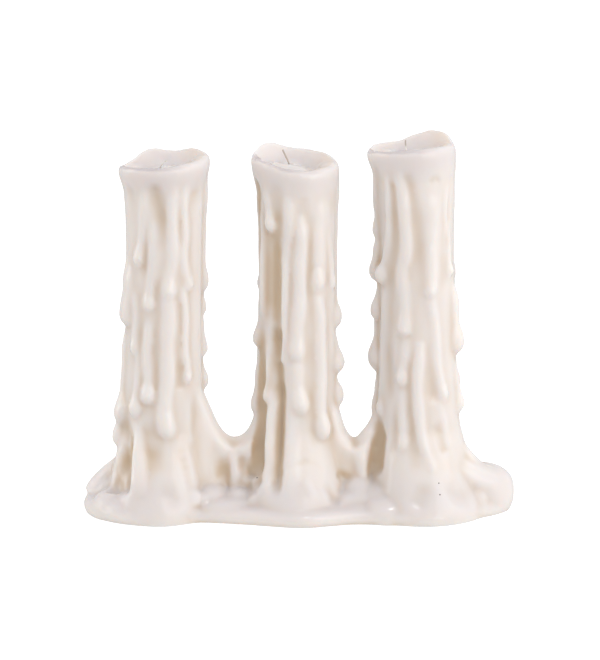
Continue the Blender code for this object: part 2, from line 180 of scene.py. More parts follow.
LEFT_RUNS = (
    Run(((173, -29), (161, -28), (147, -32), (134, -38), (128, -40)), 5, 6.6, flare=1.8),
    Run(((151, -14), (140, -15), (125, -18), (112, -19.5), (106, -19.5)), 4.4, 6),
    Run(((174, 15), (150, 15), (130, 14), (121, 11), (112, 10)), 6.8, 7.4, flare=1.6),
    Run(((172, 32), (145, 34), (130, 36), (116, 42)), 4.4, 4.8, 0.42, 1.8),
    Run(((172, -84), (160, -84), (146, -82)), 8, 8, 0.13, 1.3),
    Run(((128, -70), (114, -72), (94, -76)), 12, 14, 0.2),
    Run(((118, -50), (106, -46), (83, -46)), 4.6, 5.6),
    Run(((92, -37), (72, -39), (58, -41), (51, -42)), 4.2, 8),
    Run(((100, -22), (84, -23), (66, -21), (59, -21)), 5.4, 7.6),
    Run(((118, 8), (104, 9), (89, 9), (74, 7), (59, 5), (41, 6)), 8, 10.4, 0.24),
    Run(((118, 34), (87, 37), (69, 38)), 3.6, 4.4, 0.55),
    Run(((172, 88), (140, 88), (112, 92)), 7, 9, 0.32, 1.4),
    Run(((120, 96), (100, 96)), 5, 7),
    Run(((104, 86), (79, 86)), 6, 8.4),
    Run(((84, 94), (62, 92)), 6, 8.4),
    Run(((92, -86), (60, -84), (43.5, -82)), 7, 13),
    Run(((52, -84), (42, -87), (33, -92)), 8, 8.4, 0.38),
    Run(((64, 40), (50, 41), (38, 42)), 2.6, 3.2, 0.2),
)
# A stroke's last share is painted shade, which paints the wax under it browner and darker.
LEFT_STROKES = (
    Stroke(((167, -10), (159, -6), (148, 0), (138, 3)), 6.2, 2.7, (0, 0.6)),
    Stroke(((165, -54), (156, -53), (140, -56)), 5.4, 1, (0, 0.7)),
    Stroke(((160, 21), (154, 21), (144, 21)), 4.6, 0.4, (0, 0.6)),
    Stroke(((142, 26), (125, 27), (106, 28)), 4, -1),
    Stroke(((164, 51), (158, 52), (145, 52)), 4.4, 0.8, (0, 0.6)),
    Stroke(((146, -22), (137, -25), (128, -28), (120, -30)), 3, 1),
    Stroke(((142, -4), (130, -5), (118, -7)), 5.4, -0.9),
    Stroke(((114, -8), (85, -9), (58, -9)), 4, 0.5),
    Stroke(((108, -33), (85, -34), (66, -35)), 3.6, 0.9),
    Stroke(((120, -60), (106, -60), (92, -60)), 4.6, -1),
    Stroke(((84, 27), (74, 27), (66, 27)), 4, 0.9, (0.3, 0.1)),
    Stroke(((82, 90), (76, 90), (68, 90)), 5, 1.6),
    Stroke(((52, -14), (38, -12), (20, 0)), 8.5, 2.8, (0.3, 0.4)),
    Stroke(((50, -11), (44, -12), (34, -12)), 6, -1.2),
    Stroke(((168, 59), (120, 60), (80, 60), (50, 58)), 8, -2.4, (0.1, 0.3)),
    Stroke(((56, -60), (42, -60), (28, -52), (12, -40)), 7.5, 4.6, (0.4, 0.1)),
    Stroke(((31, -50), (22, -44), (14, -40)), 6.5, 2.6),
    Stroke(((38, -62), (28, -61), (19, -59), (11, -56)), 7, 6.6, (0.4, 0.1), stain=1),
    Stroke(((52, -36), (38, -33), (30, -29), (20, -25), (12, -22)), 5.2, -3.6, (0.35, 0.3), 1.5),
    Stroke(((26, 3), (15, 8), (8, 18)), 7.5, 1.6, (0.5, 0.3)),
    Stroke(((48, -46), (34, -45), (22, -43), (14, -41)), 4.4, 3.6, (0.3, 0.1), stain=0.8),
    Stroke(((46, 0), (34, 4), (22, 10)), 15, 0, (0.4, 0.3), stain=0.2),
)
LEFT = Pillar(
    name="left", foot_x=-69.5, top_x=-67,
    rim_height=180, rim_shift=-0.1, rim_width=1.045,
    rim_lift=(
        (-90, -4), (-60, -2.4), (-30, -1.8), (0, -1.6), (45, 0.2), (90, 1.8), (137, 2.6), (168, 0.4),
        (200, 2), (213, 0.6), (224, -2.2), (236, -3.6), (254, -4.4),
    ),
    well_shift=(-2.4, 1),
    runs=LEFT_RUNS,
    back_turn=0,
    foot_reach=(
        (-125, 30), (-90, 28), (-62, 29), (-28, 33), (0, 33), (30, 31), (60, 28), (90, 27), (150, 31),
        (200, 30),
    ),
    strokes=LEFT_STROKES,
)

MIDDLE_RUNS = (
    Run(((172, -52), (160, -46), (153, -43), (144, -42)), 4.6, 8, 0.36, 1.8),
    Run(((172, -80), (145, -67), (110, -67), (97, -76), (84, -84)), 5, 8.6, flare=1.8),
    Run(((172, -9), (150, -12), (138, -15), (131, -18)), 7.2, 5.8, flare=1.7),
    Run(((132, -20), (110, -21), (89, -24), (78, -25)), 4.6, 5.2),
    Run(((154, 6), (130, 6), (110, 3), (89, 0), (81, -3)), 7.4, 7.8, 0.25),
    Run(((84, 0), (66, 2), (54, 5)), 7, 9),
    Run(((150, 34), (135, 33), (124, 32), (116, 31)), 7, 8, 0.15),
    Run(((145, 54), (128, 60), (116, 64)), 3.4, 4.2, 0.4),
    Run(((112, 36), (85, 40), (60, 38), (40, 38)), 7, 9, 0.30),
    Run(((86, -50), (66, -53), (57, -54)), 5, 8),
    Run(((80, -86), (60, -84), (50, -84)), 6, 8.6),
    Run(((172, 84), (130, 84), (94, 86)), 5, 9.6, 0.32, 1.3),
    Run(((92, 82), (71, 84)), 6, 9.4, 0.4),
    Run(((70, 84), (54, 85)), 5.4, 9, 0.34),
)
# A stroke's last share is painted shade, which paints the wax under it browner and darker.
MIDDLE_STROKES = (
    Stroke(((167, -29), (155, -27), (146, -27), (136, -32)), 5.4, 1.1, (0, 0)),
    Stroke(
        ((160, -33), (148, -40), (134, -44), (120, -45), (105, -45), (86, -44)),
        7.6, 3.6, (0.5, 0.3), stain=0.75,
    ),
    Stroke(((146, -30), (134, -32), (120, -32), (105, -32), (84, -31)), 5.4, 2.8, (0.35, 0.1), stain=0.2),
    Stroke(((160, 64), (130, 64), (100, 66), (66, 66)), 7, -1.6, (0.15, 0.2)),
    Stroke(((164, 42), (145, 41), (125, 38), (104, 36)), 7, -2.2, (0.2, 0.25)),
    Stroke(((100, -36), (84, -34), (70, -32), (58, -30)), 6.4, 4.6, (0.2, 0.3), stain=0.3),
    Stroke(((72, -29), (62, -27), (42, -26), (24, -25), (14, -22)), 5.2, 4.6, (0.3, 0.2), stain=0.3),
    Stroke(
        ((96, -33), (84, -30), (75, -27), (62, -24), (42, -23), (24, -20), (11, -18)),
        4.6, 2.6, (0.2, 0.15),
    ),
    Stroke(((90, -62), (60, -61), (42, -57), (22, -49)), 8, 4.6, (0.3, 0.1), 0.62, 0.9),
    Stroke(((34, -66), (26, -64), (19, -60)), 6.5, 3.6, (0.4, 0.1)),
    Stroke(((166, -76), (140, -80), (98, -84)), 6, 4.6, (0, 0.2), stain=1.2),
    Stroke(((98, -64), (80, -64), (58, -64)), 5, 0.4, (0.3, 0.3), stain=1.1),
    Stroke(((141, -62), (120, -63), (96, -62)), 2.6, -1.8),
    Stroke(((161, 10), (150, 14), (130, 18), (92, 19)), 4.2, 0.7, (0, 0.3)),
    Stroke(((160, -3), (148, -2), (134, -6), (111, -8), (86, -15)), 3.6, 0.7),
    Stroke(((96, 21), (66, 21), (40, 22)), 4, 0.5, (0.2, 0)),
    Stroke(((64, -39), (44, -41), (26, -38)), 5.2, -3, (0.35, 0.35), stain=0.2),
    Stroke(((60, -9), (42, -8), (26, -7), (12, -10)), 6.5, -2.4, (0.5, 0.4)),
    Stroke(((24, 10), (18, 13), (11, 20)), 3.4, -0.8, (0.5, 0.4)),
    Stroke(((22, 30), (12, 38), (7, 42)), 4.2, 1.6),
)
MIDDLE = Pillar(
    name="middle", foot_x=-1.6, top_x=-1.6,
    rim_height=179.7, rim_shift=-0.9, rim_width=1,
    rim_lift=(
        (-140, 6.2), (-90, 1.8), (-55, 1.6), (0, -2.2), (25, -3.2), (60, -2.4), (90, -1.2), (145, 1.4),
        (180, 2.4),
    ),
    well_shift=(-3.8, 1),
    runs=MIDDLE_RUNS,
    back_turn=24,
    foot_reach=(
        (-90, 26), (-62, 28.5), (-32, 33), (0, 34.5), (30, 32.5), (62, 29), (90, 27), (150, 31), (210, 30),
    ),
    strokes=MIDDLE_STROKES,
)

RIGHT_RUNS = (
    Run(((180, -45), (160, -43), (149, -44), (135, -54), (124, -62), (118, -63)), 3.6, 8, 0.42, 2),
    Run(
        ((180, -26), (160, -18), (146, -16), (135, -18), (127, -22), (115, -21), (92, -21)),
        6.6, 7.6, flare=1.6,
    ),
    Run(((146, 24), (134, 22), (122, 20), (113, 19)), 4, 5.2, 0.28),
    Run(((172, 54), (152, 51), (141, 57), (130, 61), (122, 62)), 3.2, 4.6, 0.35),
    Run(((114, 21), (104, 26), (87, 28), (74, 33), (60, 39)), 4.6, 5.8),
    Run(((116, 76), (97, 78), (81, 80)), 8.6, 11, 0.34),
    Run(((76, 80), (60, 82), (51, 83)), 6, 8.6),
    Run(((60, 30), (48, 36), (36, 42)), 2.6, 3.4),
    Run(((92, -16), (83, -21), (76, -25), (68, -26)), 5.4, 6.6),
    Run(((90, 1), (74, -1), (60, -3), (49, 1), (38, 6), (24, 15)), 6, 6.4, 0.36),
    Run(((68, -23), (54, -24), (42, -24), (35, -24)), 5, 6.4, 0.22),
    Run(((118, -60), (90, -66), (68, -70), (50, -68)), 4.2, 6.6),
    Run(((180, -82), (148, -86), (140, -88)), 5, 6.6, flare=1.8),
    Run(((142, -84), (118, -84)), 6, 8.6, 0.46),
    Run(((116, -86), (98, -86)), 6, 8, 0.42),
    Run(((104, -92), (88, -95), (71, -95)), 7.4, 13, 0.36),
    Run(((72, -94), (60, -94), (48, -92)), 8, 8.4, 0.28),
)
RIGHT_STROKES = (
    Stroke(((175, -66), (150, -70), (120, -74)), 5.6, 1, (0, 0.2)),
    Stroke(((168, -37), (156, -34), (140, -34), (126, -41), (100, -46), (84, -48)), 4, 1.2, (0, 0.2)),
    Stroke(((98, -49), (75, -50), (56, -46)), 5, 2),
    Stroke(((173, -11), (164, -5), (153, 0), (141, 2), (118, 1)), 4.8, 1.1, (0, 0.2), 1.15),
    Stroke(((170, 19), (173, 28), (170, 37)), 2.4, 0.9, (0.2, 0.2)),
    Stroke(((138, 43), (126, 45), (114, 43)), 5, 0.6),
    Stroke(((168, 26), (145, 25), (125, 23), (106, 21)), 6.6, -2, (0.2, 0.25)),
    Stroke(((176, 55), (150, 54), (128, 56)), 2.6, 1),
    Stroke(((90, -14), (64, -15), (45, -11), (33, -8), (24, -5)), 4.8, 0.8, (0.4, 0.2)),
    Stroke(((84, 17), (68, 19), (58, 21)), 4.2, 1.2, (0.5, 0.3)),
    Stroke(((52, 23), (42, 29), (34, 35)), 4.6, 1.2, (0.3, 0.1)),
    Stroke(((60, -36), (44, -37), (28, -38)), 4, 1.2),
    Stroke(((46, -58), (36, -60), (26, -58)), 6, 2.4, (0.3, 0)),
    Stroke(((23, 5), (14, -1), (8, -9)), 7.5, 1.8),
    Stroke(((24, 23), (15, 37), (9, 54)), 7.5, 1.4),
)
RIGHT = Pillar(
    name="right", foot_x=60.6, top_x=56.2,
    rim_height=187, rim_shift=-1.4, rim_width=1.01,
    rim_lift=(
        (-90, -3.4), (-50, -1.4), (0, 0), (30, 0.8), (90, 0.6), (126, 4.4), (147, 4.6), (164, 2.4),
        (196, -1.2), (230, -1.2),
    ),
    well_shift=(-2.9, 1.4),
    runs=RIGHT_RUNS,
    back_turn=-18,
    foot_reach=(
        (-90, 25), (-60, 28), (-28, 32.5), (0, 33), (24, 33.5), (55, 34), (90, 38), (125, 36), (170, 31),
        (230, 30),
    ),
    strokes=RIGHT_STROKES,
)

PILLARS = (LEFT, MIDDLE, RIGHT)

# How a foot's skirt falls away with height: (height, share of its reach beyond the bare pillar).
FOOT_FALL = (
    (-3, 1), (3, 1), (5.5, 0.98), (8, 0.91), (11, 0.79), (15, 0.61), (20, 0.42), (27, 0.22), (35, 0.09),
    (45, 0), (52, -0.2),
)

# The rounded edge of the puddle, a closed loop of (x, y, radius), from the left end along the front.
PUDDLE_EDGE = (
    (-104.8, 4, 5.2), (-103.4, -7.5, 4.8), (-98, -16.5, 4.7), (-88, -24.5, 4.6), (-75, -27.6, 4.8),
    (-62, -25, 4.6), (-50, -22.2, 4.5), (-38, -23.7, 4.5), (-24, -26.5, 4.6), (-10, -29.8, 4.8),
    (2, -31.8, 4.8), (13, -29, 4.7), (26, -25.8, 4.5), (40, -26.2, 4.5), (54, -27.8, 4.8),
    (66, -28.6, 5), (75.5, -23.5, 5.2), (87, -13.8, 5.4), (96, -7, 5.6), (101.5, 2, 5.8),
    (98.5, 13.5, 5.8), (86, 22, 5.8), (70, 28, 5.8), (50, 27.5, 5.8), (30, 25.3, 5.8), (12, 29, 5.8),
    (-8, 30, 5.8), (-26, 25.5, 5.8), (-46, 27, 5.8), (-66, 30, 5.8), (-84, 26, 5.8), (-97, 16, 5.8),
)
PUDDLE_EDGE_HEIGHT = 3
# How far the puddle's underside is under the ground before it's cut flat, and how far out its ridge runs.
PUDDLE_SINK = 3
PUDDLE_RIDGE_END = 90
# The puddle's top: its height along the middle by x, and how it falls from there (0) to its edge (1).
PUDDLE_RIDGE = ((-95, 11), (-69, 13), (-34, 13.5), (0, 14), (28, 18.5), (48, 17), (85, 17), (95, 16))
PUDDLE_FALL = ((0, 1), (0.3, 0.96), (0.55, 0.88), (0.75, 0.75), (0.9, 0.58), (1, 0.4))


class Lobe(NamedTuple):
    """A lobe of the puddle: its place, its half length along x, half width along y and height.

    It is a ball at roundness 1, and squarer below that. It is widest at its middle height.
    """

    x: float
    y: float
    half_x: float
    half_y: float
    height: float
    roundness: float = 0.9
    middle: float = 4.0


LOBES = tuple(Lobe(*row) for row in (
    (-92, 6, 15, 14, 13), (-93.5, -11.5, 11.5, 11.5, 13.5), (-32, -11, 11, 12, 14.5),
    (-88, -17, 11, 10, 11.5), (-37, -14, 22, 13, 12, 0.8), (0, -20, 34, 11, 9.5, 0.8),
    (28, -18, 16, 10, 10, 0.8), (-50, -17, 12, 8, 9.5), (-18, -14, 12, 13, 15), (-46, -11, 12, 13, 18),
    (29, -9, 13, 13, 21), (44, -16, 16, 15.5, 14.5, 0.9, 3), (42, -11.5, 15, 14.5, 18.5),
    (88.5, 3, 20, 17, 23, 0.75, 9), (82, -5, 17, 13, 19.5, 0.85, 6), (70, 17, 20, 15, 13),
    (44, 15, 18, 14, 14), (16, 17, 19, 15, 12), (-12, 14, 17, 14, 12), (-38, 15, 19, 14, 12),
    (-66, 18, 20, 15, 14),
))

# Fingers of wax that ran off the outer pillars' feet: (x, y, height, radius) points.
FINGERS = (
    ((-84, 4, 27, 5), (-91, 5, 20.5, 6), (-96.5, 5, 15.8, 6.2), (-101.4, 5, 10.8, 6.2), (-104.2, 4, 6.5, 6)),
    ((-91, 5, 15, 5.5), (-93, 1, 12, 7), (-97, 0, 9, 7), (-101.5, 1, 6, 6)),
    ((-83, -12, 12, 6), (-90, -13, 9, 6.5), (-97, -12, 6, 6.5)),
    ((74, -2, 33, 8.5), (81, -2, 23.5, 9), (88, -1, 16.5, 9.3), (95, 0, 14.3, 9)),
    ((70, -8, 28, 8.5), (80, -7.5, 20.5, 9.5), (88, -5.5, 16, 9.5), (95, -3, 13.5, 9)),
)

# Curtains of wax between the pillars: the top edge as (x, height) points, the (x, y) of the sheet's foot, and
# the (x, height, radius) of columns.
WEBS = (
    (
        ((-50, 67), (-44.5, 54), (-41, 46), (-37, 40.6), (-33, 38.8), (-28.5, 40.6), (-25, 45.5), (-20, 59)),
        ((-50, -15), (-44, -12), (-40, -8), (-36, -6), (-31, -7), (-26, -6.5), (-22.5, -3), (-18, -1.5)),
        ((-32.4, 31, 3.2), (-27.2, 32, 3.1)),
    ),
    (
        ((16, 61), (20, 53), (22.5, 44.5), (25, 40.2), (27.3, 38.2), (30.5, 41.5), (35, 47.5), (40, 61)),
        ((16, -13), (20, -11.5), (26, -9.5), (30, -8), (34, -4), (38, -1.5), (42, -1)),
        ((30.8, 31, 3.2),),
    ),
)
WEB_LIP_RADIUS = 5.0
WEB_LIP_FORWARD = 0.8
WEB_LIP_Y = -3
WEB_TOP_Y = -7
WEB_SHEET_RADIUS = 5.0
WEB_COLUMN_FORWARD = 3.2
WEB_COLUMN_LENGTH = 20
WEB_COLUMN_FLARE = 0.9
# Strokes on the curtains, (x, height) from the front, and on the puddle, (x, y) from above. A stroke is laid
# on the wax by rays: on a pillar they start this far off it and are tilted by (height, degrees), and the
# others start far away.
RAY_LENGTH = 12
FOOT_TILT = ((10, 55), (35, 0))
FAR = 60
# A stroke's last share is painted shade, which paints the wax under it browner and darker.
WEB_STROKES = (
    Stroke(((-39, 32), (-39, 24), (-38.5, 17)), 5.2, 1.4, (0.5, 0.3), stain=0.5),
    Stroke(((-29.8, 30), (-29.8, 20), (-30, 13)), 2.4, 0.5),
    Stroke(((-20.5, 46), (-21, 32), (-21, 16)), 4.2, 2.2, (0.4, 0.1), stain=0.8),
    Stroke(((20, 21.5), (23, 20)), 4, 1.6, (0, 0)),
    Stroke(((39.8, 50), (39, 36), (38, 25)), 6.5, 2.2, (0.2, 0)),
)
PUDDLE_STROKES = (
    Stroke(((-33, -23), (-18, -24), (-2, -24.5), (14, -21)), 2.6, 0.8),
    Stroke(((80, -13), (90, -9), (100, -4)), 4, 0.4),
    Stroke(((-50, -20), (-50.5, -22), (-51, -25)), 6, -2.4),
    Stroke(((-91, -6), (-91, -13), (-90, -20)), 6, -2.4),
    Stroke(((-29, -20), (-20, -23), (-8, -26)), 5, -1.6),
    Stroke(((18, -22), (28, -21), (38, -21)), 5, -1.6),
    Stroke(((-37, -15), (-30, -16), (-24, -16)), 4.5, -1.6),
    Stroke(((-60, -20), (-52, -24)), 4, 1),
)

# Wick paths from the middle of each well's floor: (x, y, z).
WICK_PATHS = {
    "wick_left": ((0, 0, 0), (-1.5, 0, 3.5), (-2, 0, 6.8), (-1, 0, 8.8), (0.4, 0, 10.3), (1.2, 0, 11)),
    "wick_middle": ((0, 0, 0), (-1, 0.4, 3), (-3, 1.8, 7.5), (-5.2, 3.8, 12), (-7, 5.6, 15.6)),
    "wick_right": ((0, 0, 0), (-2.4, 0.6, 4), (-3.8, 2.4, 8), (-4.2, 4.6, 11), (-4.2, 6.4, 13)),
}
# Between which heights over the well's floor each wick is charred.
WICK_CHAR = {"wick_left": (2, 8), "wick_middle": (5, 20), "wick_right": (10, 20)}
# A wick's end over the ground, its steps up to the well's floor, and its strands: the length of a turn, and
# their way off its middle and their size as shares of its radius.
WICK_END_HEIGHT = 1
WICK_STEPS = 400
STRANDS = 3
STRAND_TURN = 3.4
STRAND_OFF = 0.46
STRAND_SIZE = 0.56
WELL_DEPTH = 12.2

# The relief that tints the wax with painted shade: softening passes for its fine part and for its wide
# hollows.
FINE_PASSES = 60
WIDE_PASSES = 240
WIDE_LEVEL = 0.5
WIDE_SHARE = 0.4
# A well's points are within this reach of its axis and this far under the rim's mean height. Their relief and
# their tint are even to the middle of the well, and fall from there to the right, over the width, as painted
# shade that makes the right of each well darker and browner.
WELL_REACH = 21
WELL_BAND = 15
WELL_RELIEF = 0.4
WELL_SHADE = 1.2
WELL_SHADE_WIDTH = 14
WELL_TINT = 0.65
WELL_TINT_FALL = 0.15
# The painted shade and reflection of the collars and the puddle: how far out and how deep a collar's reaches,
# how strong each is, below which height the puddle's starts, and over how much height it comes in.
RIM_REACH = 30
RIM_SHADE_DEPTH = 17
COLLAR_SHADE = 0.75
PUDDLE_SHADE = 0.9
PUDDLE_SHADE_HEIGHT = 28
PUDDLE_SHADE_FADE = 12
# The lip's painted shade: between which radii, down to which depth and in front of which y, its strength in
# the middle, and the width to the right over which that would fall by 1.
LIP_INNER = 17.5
LIP_OUTER = 24
LIP_DEPTH = 9
LIP_BACK = 6
LIP_TINT = 0.75
LIP_TINT_WIDTH = 20
# Specks of dirt caught in the wax, seen from the front: x, height, radius.
SPECKS = ((-21.5, 20.5, 0.45), (69, 20.6, 0.4), (69.5, 15.3, 0.45))
# The share of the wax's faces that is kept at the end.
KEPT_FACES = 0.74

# The stage, in metres: what the camera and the lights aim at, the softboxes and the height of the view.
AIM = (0, 0, 0.0928)
FLOOR_SIZE = 24
FLOOR_BACK = 6
SOFTBOXES = {
    "key": ((1.1, -1.0, 0.62), (1.3, 1.3)),
    "fill": ((-1.35, 0.0, 0.45), (0.8, 0.8)),
    "spark": ((0.2, -1.0, 0.95), (0.3, 0.12)),
}
SENSOR_WIDTH = 36
VIEW_HEIGHT = 0.33


def colour(name, description, default):
    return bpy.props.FloatVectorProperty(name=name, description=description, subtype="COLOR", default=default)


def length(name, description, default):
    return bpy.props.FloatProperty(name=name, description=description, unit="LENGTH", default=default)


def level(name, description, default):
    return bpy.props.FloatProperty(name=name, description=description, default=default, min=0)


def power(name, description, default):
    return bpy.props.FloatProperty(name=name, description=description, unit="POWER", default=default, min=0)


class WaxSettings(bpy.types.PropertyGroup):
    voxel: length("Detail", "Voxel size that fuses the wax", 0.00098)
    smoothing: bpy.props.IntProperty(
        name="Softness", description="Smoothing passes over the fused wax", default=9, min=0, max=30
    )
    stroke_strength: level("Strokes", "How strongly the strokes press into the wax", 0.6)
    crest: colour("Crest", "Colour of the wax on its ridges", (0.835, 0.79, 0.765))
    # Painted shade: the warmer, darker colour painted into the wax's hollows and creases.
    hollow_shade: colour("Hollow", "Colour of the wax in its hollows", (0.70, 0.56, 0.41))
    # Painted shade and reflection: the greyer, darker colour painted on the collars, in the wells and on the
    # puddle's top.
    rim: colour("Rim", "Colour of the wax at the rims, in the wells and on the puddle", (0.70, 0.66, 0.665))
    # Painted shade: the darker colour painted on the upward-facing top edge of the lips, mostly on their
    # left.
    lip: colour("Lip", "Colour of the thin edge of the lips", (0.54, 0.50, 0.515))
    dirt: colour("Dirt", "Colour of the specks of dirt", (0.10, 0.08, 0.06))
    depth: length("Light depth", "How far light travels inside the wax", 0.0065)
    roughness: level("Roughness", "Roughness of the skin of the wax", 0.11)


class WickSettings(bpy.types.PropertyGroup):
    radius: length("Radius", "Radius of a wick", 0.0004)
    cotton: colour("Cotton", "Colour of the waxed cotton", (0.86, 0.83, 0.78))
    char: colour("Char", "Colour of the charred cotton", (0.50, 0.43, 0.37))


class StageSettings(bpy.types.PropertyGroup):
    floor: colour("Floor", "Colour of the floor", (0.93, 0.93, 0.93))
    daylight: level("Daylight", "Strength of the light from above", 1.03)
    zenith: level("Zenith", "Share of the daylight that comes from right overhead", 0.78)
    floor_light: level("Low light", "Strength of the light that the floor throws back", 0.78)
    front_light: level("Front light", "Share of the light that comes from the front", 0.66)
    back_light: level("Back light", "Share of the light that comes from behind", 0.75)
    left_light: level("Left light", "Share of the light that comes from the left", 0.95)
    right_light: level("Right light", "Share of the light that comes from the right", 1.1)
    glow: level("Floor glow", "Light that the floor gives off, as a lit sweep does", 0.36)
    key_power: power("Key light", "Power of the softbox at the right", 8.0)
    fill_power: power("Fill light", "Power of the softbox at the left", 3.5)
    spark_power: power("Spark light", "Power of the narrow softbox that gives the crisp glints", 1.5)
    elevation: bpy.props.FloatProperty(
        name="Camera elevation", description="How far the camera looks down", unit="ROTATION",
        default=math.radians(12.5),
    )
    distance: length("Camera distance", "From the camera to what it aims at", 1.6)


def deselect_all():
    for obj in bpy.context.selected_objects:
        obj.select_set(False)


def make_active(obj):
    deselect_all()
    obj.select_set(True)
    bpy.context.view_layer.objects.active = obj


def apply_modifier(obj, kind, **settings):
    """Adds a modifier to the object with these settings and applies it."""
    make_active(obj)
    modifier = obj.modifiers.new(kind.lower(), kind)
    for name, value in settings.items():
        setattr(modifier, name, value)
    bpy.ops.object.modifier_apply(modifier=modifier.name)


@contextlib.contextmanager
def editing(obj):
    """Edit mode on the object, with its whole mesh selected."""
    make_active(obj)
    bpy.ops.object.mode_set(mode="EDIT")
    bpy.ops.mesh.select_all(action="SELECT")
    yield
    bpy.ops.object.mode_set(mode="OBJECT")


def tidy_shell(obj):
    """Merges the points that lie on one another and turns the faces outwards."""
    with editing(obj):
        bpy.ops.mesh.remove_doubles(threshold=0.01 * MM)
        bpy.ops.mesh.normals_make_consistent(inside=False)


def join(objects, name):
    deselect_all()
    for obj in objects:
        obj.select_set(True)
    bpy.context.view_layer.objects.active = objects[0]
    bpy.ops.object.join()
    whole = bpy.context.view_layer.objects.active
    whole.name = whole.data.name = name
    bpy.ops.object.transform_apply()
    return whole


def core_radius(height):
    return table_value(CORE_PROFILE, height)


def axis_x(pillar, height):
    return pillar.foot_x + (pillar.top_x - pillar.foot_x) * height / pillar.rim_height


def smooth_path(path, steps):
    """Points along a smooth curve through the path's points, spaced evenly from its start to its end."""
    points = [Vector(point) for point in path]
    ends = [points[0] * 2 - points[1], *points, points[-1] * 2 - points[-2]]
    curve = []
    for spot in np.linspace(0, len(points) - 1, steps):
        i = min(int(spot), len(points) - 2)
        t = spot - i
        before, start, end, after = ends[i : i + 4]
        curve.append(
            0.5 * (2 * start + (end - before) * t + (2 * before - 5 * start + 4 * end - after) * t**2
                   + (3 * start - before - 3 * end + after) * t**3)
        )
    return curve


def ease(share):
    """From 0 to 1, slow at both ends."""
    share = np.clip(share, 0, 1)
    return share * share * (3 - 2 * share)


def table_value(table, place):
    """The value at a place of a table of (place, value) points, straight between them."""
    return float(np.interp(place, *zip(*table)))


def around(table, azimuth):
    """The value at an azimuth of a table of (azimuth, value) points that closes on itself."""
    known = sorted((angle % 360, value) for angle, value in table)
    known = [(known[-1][0] - 360, known[-1][1]), *known, (known[0][0] + 360, known[0][1])]
    for (a, low), (b, high) in zip(known, known[1:]):
        if a <= azimuth % 360 <= b:
            share = (azimuth % 360 - a) / (b - a)
            return low + (high - low) * (1 - math.cos(math.pi * share)) / 2
    return 0.0


def add_turned(name, profile):
    """A round solid on Z: its bottom disc is extruded ring by ring through a (height, radius) profile."""
    (height, radius), *rings = profile
    deselect_all()
    bpy.ops.mesh.primitive_circle_add(
        vertices=CORE_SIDES, radius=radius * MM, fill_type="NGON", location=(0, 0, height * MM)
    )
    solid = bpy.context.object
    solid.name = solid.data.name = name
    bpy.ops.object.transform_apply()
    with editing(solid):
        for next_height, next_radius in rings:
            rise = (0, 0, (next_height - height) * MM)
            bpy.ops.mesh.extrude_region_move(TRANSFORM_OT_translate={"value": rise})
            scale = next_radius / radius
            bpy.ops.transform.resize(value=(scale, scale, 1), center_override=(0, 0, next_height * MM))
            height, radius = next_height, next_radius
    tidy_shell(solid)
    return solid


def add_pillar_core(pillar):
    """The bare pillar with its wavy rim and its well, leaning with the pillar's axis."""
    rim_floor = pillar.rim_height + RIM_PROFILE[0][0]
    profile = [ring for ring in CORE_PROFILE if ring[0] < rim_floor - CORE_RIM_GAP]
    profile += [(pillar.rim_height + height, radius) for height, radius in RIM_PROFILE]
    core = add_turned(f"{pillar.name}_core", profile)
    for vertex in core.data.vertices:
        x, y, z = vertex.co / MM
        out = math.hypot(x, y)
        share = ease((z - rim_floor) / (pillar.rim_height - rim_floor))
        turn = math.atan2(x, -y)
        if z > pillar.rim_height - RIM_ROUND_DEPTH:
            beyond = max(0.0, (out - LIP_RADIUS + RIM_ROUND_START) / RIM_ROUND_WIDTH)
            z -= RIM_ROUND * max(0.0, math.sin(turn + RIM_ROUND_TURN)) * beyond**2
        z += around(pillar.rim_lift, math.degrees(turn)) * share
        wider = 1 + (pillar.rim_width - 1) * share
        inside = np.clip((LIP_RADIUS - out) / WELL_SHIFT_WIDTH, 0, 1) if share else 0.0
        x += pillar.well_shift[0] * inside
        y += pillar.well_shift[1] * inside
        vertex.co = Vector((x * wider + axis_x(pillar, z) + pillar.rim_shift * share, y * wider, z)) * MM
    return core


def add_tubes(name, tubes, sides=4):
    """Round tubes, each a list of (point, radius) in millimetres, as one mesh of closed shells."""
    deselect_all()
    bpy.ops.curve.primitive_nurbs_path_add(enter_editmode=True)
    curve = bpy.context.object
    curve.name = name
    bpy.ops.curve.delete(type="VERT")
    for spots in tubes:
        bpy.ops.curve.select_all(action="DESELECT")
        bpy.ops.curve.primitive_nurbs_path_add()
        bpy.ops.curve.subdivide(number_cuts=math.ceil((len(spots) - 5) / 4))
        bpy.ops.curve.spline_type_set(type="POLY")
        spline = curve.data.splines[-1]
        ends = smooth_path([(*point, radius) for point, radius in spots], len(spline.points))
        for point, (x, y, z, radius) in zip(spline.points, ends):
            point.co = (x * MM, y * MM, z * MM, 1)
            point.radius = radius
    bpy.ops.object.mode_set(mode="OBJECT")
    curve.data.bevel_depth = MM
    curve.data.bevel_resolution = sides
    curve.data.use_fill_caps = True
    make_active(curve)
    bpy.ops.object.convert(target="MESH")
    tube = bpy.context.object
    tidy_shell(tube)
    return tube


def well_radius(pillar, height, azimuth):
    """How wide the well is at a height, and below 0 under its floor, which takes part of the rim's lift."""
    lift = WELL_LIFT_SHARE * around(pillar.rim_lift, azimuth)
    profile = (WELL_UNDERSIDE, *reversed(RIM_PROFILE[LIP:]))
    return table_value(profile, height - pillar.rim_height - lift)


